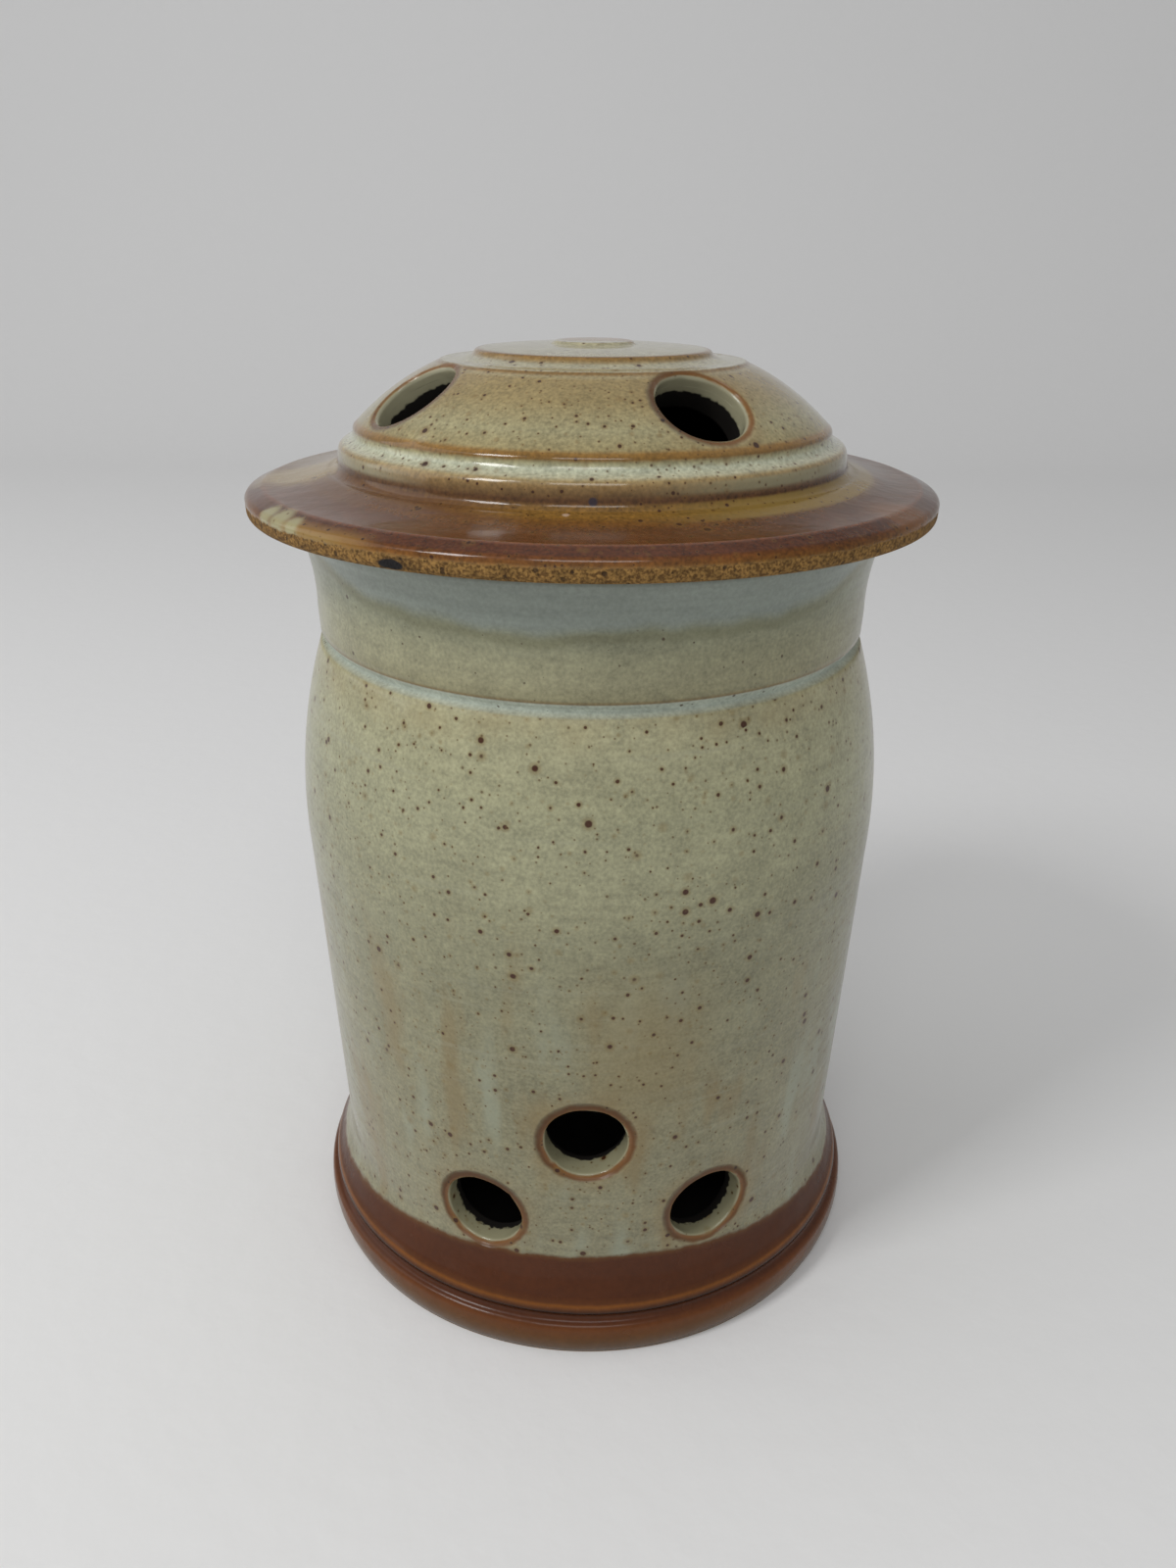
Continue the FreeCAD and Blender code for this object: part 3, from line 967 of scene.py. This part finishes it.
slope = runs["flange_top"] - runs["roll"]
flange = mix.bands(mix.along + wander, [
    (runs["edge_high"] - 0.8, glaze(134, 98, 46)), (runs["edge_high"] - 0.2, glaze(112, 72, 28)),
    (runs["edge_high"] + 0.6, glaze(104, 62, 24)), (runs["edge_top"] - 0.1, glaze(82, 42, 18)),
    (runs["roll"] - 0.6, glaze(80, 40, 16)), (runs["roll"] + 0.1, glaze(110, 58, 20)),
    (runs["roll"] + 0.9, glaze(94, 53, 24)), (runs["roll"] + 0.55 * slope, glaze(90, 53, 27)),
    (runs["roll"] + 0.78 * slope, glaze(104, 66, 22)),
    (runs["flange_top"] - 0.6, glaze(124, 90, 38)), (runs["bead_foot"] - 0.9, glaze(118, 86, 38)),
    (runs["bead_foot"] - 0.2, glaze(88, 58, 30)), (runs["bead_foot"] + 1.0, glaze(92, 60, 34)),
])
dome = mix.bands(mix.along + wander * 0.7, [
    (runs["bead_foot"], glaze(88, 58, 30)), (runs["bead_foot"] + 1.0, glaze(100, 74, 42)),
    (runs["bead_side"] + 0.4, glaze(134, 108, 68)), (runs["bead_side"] + 1.3, glaze(146, 126, 86)),
    (runs["bead_crest"] - 0.2, glaze(170, 166, 138)), (runs["cove"] - 1.0, glaze(172, 175, 152)),
    (runs["cove"] + 0.1, glaze(154, 148, 112)), (runs["cove"] + 0.7, glaze(116, 84, 34)),
    (runs["dome_foot"] + 0.1, glaze(132, 98, 46)), (runs["dome_foot"] + 1.0, glaze(144, 132, 94)),
    (runs["dome_foot"] + 5.0, glaze(149, 142, 108)), (runs["dome_line"] - 8.5, glaze(142, 126, 86)),
    (runs["dome_line"] - 2.2, glaze(141, 123, 82)), (runs["dome_line"] - 1.0, glaze(150, 137, 102)),
    (runs["dome_line"] + 0.2, glaze(116, 84, 38)), (runs["dome_line"] + 0.9, glaze(158, 152, 122)),
    (runs["step_in"] - 0.4, glaze(158, 152, 124)), (runs["disc_edge"], glaze(134, 106, 60)),
    (runs["disc_top"] + 0.1, glaze(116, 82, 36)), (runs["disc_top"] + 0.8, glaze(154, 147, 118)),
    (runs["swirl_foot"], glaze(158, 152, 124)), (runs["crown"], glaze(158, 150, 120)),
])
grain = mix.cloud(0.7, 4.0) * 1.30 + mix.cloud(2.2, 2.0) * 0.50
dome = mix.shade(dome, 1.07 + grain + mix.cloud(15.0) * 0.30)
crescent = mix.radius.rise(8.8, 8.0) * mix.y.rise(-5.0, -2.0) * mix.x.rise(-8.0, -5.0)
dome = mix.blend(crescent * 0.9, dome, glaze(136, 98, 40))
# The cloud gives the flange brushed streaks; the second term is painted shade that darkens the
# flange towards the right.
streaks_and_right_shade = mix.cloud(3.0, 2.0, (0.3, 1, 1)) * 0.50 - mix.x.rise(18.0, 50.0) * 0.22
flange = mix.shade(flange, 1.0 + grain * 1.3 + streaks_and_right_shade)
mix.tell("bands")

# %% [markdown]
# The celadon was poured from one side. On the right it runs over the bead and turns
# olive where it meets the brown of the flange. At the front and on the left the bead
# stays brown, up to a pale run on the far left. A few drips and thin places make the
# flange uneven, and each of those is placed by how far round and how far out it is.

# %% Patches on the flange, as azimuth, radius, size, strength and colour
FLANGE_PATCHES = [
    (-84.0, 58.0, 12.0, 0.80, glaze(160, 138, 92)), (-108.0, 64.0, 14.0, 0.50, glaze(144, 126, 94)),
    (57.0, 70.0, 7.0, 0.50, glaze(128, 80, 30)), (-4.6, 55.6, 0.6, 0.80, glaze(186, 160, 140)),
]
CREAM_DRIPS = [(-57.5, 71.6, 2.4), (-53.0, 71.3, 2.8), (-48.5, 71.8, 2.0)]
print(len(FLANGE_PATCHES), "patches and", len(CREAM_DRIPS), "drips")

# %% Where the two glazes meet
poured = mix.x.rise(4.0, 34.0)
on_bead = mix.along.rise(runs["bead_foot"] + 0.5, runs["bead_foot"] + 1.5)
on_bead = on_bead * mix.along.rise(runs["bead_side"] + 1.2, runs["bead_side"] + 0.4)
dome = mix.blend(poured * on_bead * 0.8, dome, glaze(146, 142, 112))
dome = mix.blend(mix.x.rise(-28.0, -44.0) * on_bead * 0.6, dome, glaze(166, 164, 136))
root = mix.along.rise(runs["flange_top"] - 4.2, runs["flange_top"] - 2.6)
root = root * mix.along.rise(runs["bead_foot"] - 0.2, runs["bead_foot"] - 0.8)
flange = mix.blend(poured * root * 0.85, flange, glaze(134, 110, 54))
browned = mix.x.rise(-8.0, -30.0)
flange = mix.blend(browned * root * 0.7, flange, glaze(92, 58, 38))
on_flange = (mix.along + wander * 0.7).rise(runs["bead_foot"] + 0.8, runs["bead_foot"] - 0.2)
mix.tell("overlap")

# %% Patches, drips and the amber edge
for azimuth, radius, size, share, patch_colour in FLANGE_PATCHES:
    flange = mix.blend(mix.patch(azimuth, radius, size, 0.4) * share, flange, patch_colour)
near_edge = mix.along.rise(runs["roll"] - 0.6, runs["edge_top"] - 0.6)
amber_edge = mix.patch(-42.0, 71.0, 12.0, 0.4) * near_edge
flange = mix.blend(amber_edge * 0.75, flange, glaze(140, 104, 48))
cream_line = mix.patch(-44.0, 71.0, 8.0, 0.4) * mix.along.rise(runs["edge_top"], runs["edge_high"])
flange = mix.blend(cream_line * 0.5, flange, glaze(150, 126, 72))
for azimuth, radius, size in CREAM_DRIPS:
    flange = mix.blend(mix.patch(azimuth, radius, size, 0.5) * 0.9, flange, glaze(158, 152, 114))
banded = mix.blend(on_flange, dome, flange)
mix.tell("flange")

# %% [markdown]
# The lid's vents get the same tan blush and brown ring as the pot's. The lid leans with
# the rim, so heights are taken back to the level lid before a vent is measured.

# %% Vents and specks of the lid
level_z = mix.z + mix.y * RIM_RISE - SEAT_HEIGHT
vent_gap = mix.bore_gap([outer.vent for outer, _ in lid_pairs], level_z)
blush = vent_gap.rise(6.2, 1.0) * (mix.cloud(7.0) * 1.6 + 0.5) * (1 - on_flange)
banded = mix.blend(blush * 0.5, banded, glaze(140, 112, 66))
lip_ring = (vent_gap - 0.9 + mix.cloud(3.0) * 0.6).size()
banded = mix.blend(lip_ring.rise(1.0, 0.1) * 0.90, banded, glaze(118, 72, 18))
banded = mix.blend(vent_gap.rise(0.5, 0.2), banded, glaze(152, 148, 122))
out_of_bore = vent_gap.rise(0.1, 0.4)
banded = mix.speckled(banded, LID_SPECKS, out_of_bore, glaze(56, 27, 11), glaze(114, 82, 36))
blue_spot = mix.patch(0.2, 53.4, 0.75, 0.3, SEAT_HEIGHT + 11.2)
banded = mix.blend(blue_spot * 0.9, banded, glaze(46, 40, 52))
mix.tell("vents and specks")

# %% [markdown]
# The edge of the flange is raw clay. It is coarse and toasted, so its colour varies
# from grain to grain, and it has one black scorch from the flame.

# %% The raw edge
bare = (mix.along + mix.cloud(2.0, 3.0) * 1.2).rise(runs["edge_high"] - 0.4, runs["edge_high"] - 1.0)
clay = mix.blend(mix.cloud(0.55, 3.0).rise(-0.14, 0.14), glaze(92, 66, 34), glaze(146, 112, 62))
clay = mix.shade(clay, 1.0 + mix.cloud(2.5, 3.0) * 1.3 + mix.cloud(9.0) * 0.6)
pit, _ = mix.specks(2.2, 0.2, 0.65)
clay = mix.blend(pit * 0.75, clay, glaze(50, 36, 25))
scorch = mix.patch(-28.0, 72.0, 2.5, 0.15, SEAT_HEIGHT + 2.6, 2.6)
clay = mix.blend(scorch, clay, glaze(30, 28, 29))
mix.tell("raw edge")

# %% [markdown]
# The bores of the lid end where the vault begins, a set depth below the dome. The dome
# is an arc in section, so the depth is the arc's bend less the distance from its centre.

# %% Depth below the dome
place_of = {station: Vector((out, up)) for station, out, up, bend in LID_SECTION}
bend_of = {station: bend for station, out, up, bend in LID_SECTION}
ring_centre, _ = arc(place_of["dome_foot"], place_of["dome_line"], bend_of["dome_foot"])
across = mix.radius - ring_centre.x
above = level_z - ring_centre.y
depth = bend_of["dome_foot"] - (across * across + above * above).root()
print("the dome's arc is centred", round(ring_centre.y, 1), "mm from the seat")

# %% The vault and the surface of the lid
BORE_DEPTH = 3.3
LID_COAT = 0.5

in_wall = mix.along.rise(runs["collar_end_inner"] + 0.5, runs["collar_end_inner"] - 0.5)
past_bore = (depth - mix.cloud(1.5, 2.0) * 1.2).rise(BORE_DEPTH, BORE_DEPTH + 0.5)
in_bore = vent_gap.rise(1.4, 0.8)
inside = in_wall + (past_bore - in_wall) * in_bore
unglazed = bare * (1 - in_wall) * (1 - in_bore)
colour = mix.blend(unglazed, banded, clay)
# The vault, and each bore past its pale end, get the dark slip painted nearly black as painted
# shade.
colour = mix.blend(inside, colour, DARK_SLIP_AND_SHADE)

wheel = mix.cloud(2.6, 1.0, (0.02, 0.02, 1)) * 0.16 * (1 - on_flange)
skin = mix.cloud(1.8, 2.0) * 0.05 + mix.cloud(8.0) * 0.22
sand = (mix.cloud(0.7, 4.0) * 0.5 + pit * -0.25) * unglazed
rough = mix.cloud(5.0) * 0.08 + 0.19 + unglazed * 0.6 + inside * 0.5
# The flange is glossiest at the front, where its glaze is thick, and dull on the right.
thick = mix.patch(0.0, 60.0, 22.0) - mix.x.rise(10.0, 40.0)
coat = (1 - unglazed) * (1 - inside) * (1 - on_flange * (0.5 - thick * 0.4)) * LID_COAT
lip = vent_gap.rise(2.2, 0.3) * -1.2
lid.data.materials.append(mix.fired(colour, rough, coat, wheel + skin + sand + lip))

# %% [markdown]
# ## The room
#
# The keeper stands on pale paper that curves up behind it, so that no edge shows. The
# paper starts as one edge at the front, which is extruded back along the floor, spun a
# quarter turn and extruded up the wall.

# %% Paper sweep, in metres
SWEEP_NEAR = -2.0
SWEEP_BEND = 1.0
SWEEP_RADIUS = 0.5
SWEEP_TOP = 2.4
SWEEP_HALF = 3.0
SWEEP_STEPS = 24


def pull(sheet, edge, move):
    """Extrude an edge by a move and return the edge that it ends in."""
    made = bmesh.ops.extrude_edge_only(sheet, edges=[edge])["geom"]
    ends = [item for item in made if isinstance(item, bmesh.types.BMVert)]
    bmesh.ops.translate(sheet, vec=move, verts=ends)
    return sheet.edges.get(ends)


paper = bmesh.new()
corners = [paper.verts.new((side * SWEEP_HALF, SWEEP_NEAR, 0.0)) for side in (1, -1)]
back = pull(paper, paper.edges.new(corners), (0, SWEEP_BEND - SWEEP_NEAR, 0))
last = bmesh.ops.spin(
    paper, geom=[*back.verts, back], cent=(0, SWEEP_BEND, SWEEP_RADIUS), axis=(1, 0, 0),
    angle=math.pi / 2, steps=SWEEP_STEPS,
)["geom_last"]
foot_of_wall = paper.edges.get([item for item in last if isinstance(item, bmesh.types.BMVert)])
pull(paper, foot_of_wall, (0, 0, SWEEP_TOP - SWEEP_RADIUS))
for face in paper.faces:
    face.smooth = True
print("paper", len(paper.faces), "faces")
paper_mesh = bpy.data.meshes.new("paper")
paper.to_mesh(paper_mesh)
paper.free()
sweep = bpy.data.objects.new("paper", paper_mesh)
scene = bpy.context.scene
scene.collection.objects.link(sweep)

# %% Matt paper
matt = Recipe("paper")
crease = matt.cloud(9.0, 3.0) * 0.5
bump = matt.value("Bump", {}, {"Height": crease, "Distance": MM, "Strength": 0.5})
sweep.data.materials.append(matt.surface({
    "Base Color": glaze(233, 233, 233),
    "Roughness": 0.9,
    "Specular IOR Level": 0.1,
    "Normal": bump,
}))

# %% [markdown]
# Two windows light the keeper from above, one from the front left and a wider, weaker
# one from the front. A glossy glaze mirrors them, which draws the bright lines in the
# coves of the lid. A wide white wall on the left throws the shadow to the right, and
# the even light of the room fills the rest. Each lamp is given as its centre, its
# width and height, in metres, and its power in watts.

# %% Windows, wall and room light
ROOM_LIGHT = 0.43
scene.view_settings.view_transform = "Standard"

world = bpy.data.worlds.new("room")
world.use_nodes = True
world.node_tree.nodes["Background"].inputs["Color"].default_value = (1, 1, 1, 1)
world.node_tree.nodes["Background"].inputs["Strength"].default_value = ROOM_LIGHT
scene.world = world

KEEPER_MIDDLE = Vector((0.0, 0.0, 0.12))
LAMPS = {
    "window left": (Vector((-0.74, -0.55, 1.02)), 0.30, 0.36, 5.5),
    "window right": (Vector((-0.03, -0.88, 1.06)), 0.62, 0.36, 2.8),
    "white wall": (Vector((-1.4, 0.1, 0.8)), 1.2, 1.2, 3.6),
}
for name, (centre, wide, tall, power) in LAMPS.items():
    lamp = bpy.data.lights.new(name, "AREA")
    lamp.shape = "RECTANGLE"
    lamp.size = wide
    lamp.size_y = tall
    lamp.energy = power
    panel = bpy.data.objects.new(name, lamp)
    panel.location = centre
    panel.rotation_euler = (KEEPER_MIDDLE - centre).to_track_quat("-Z", "Y").to_euler()
    scene.collection.objects.link(panel)
print(len(LAMPS), "lamps")
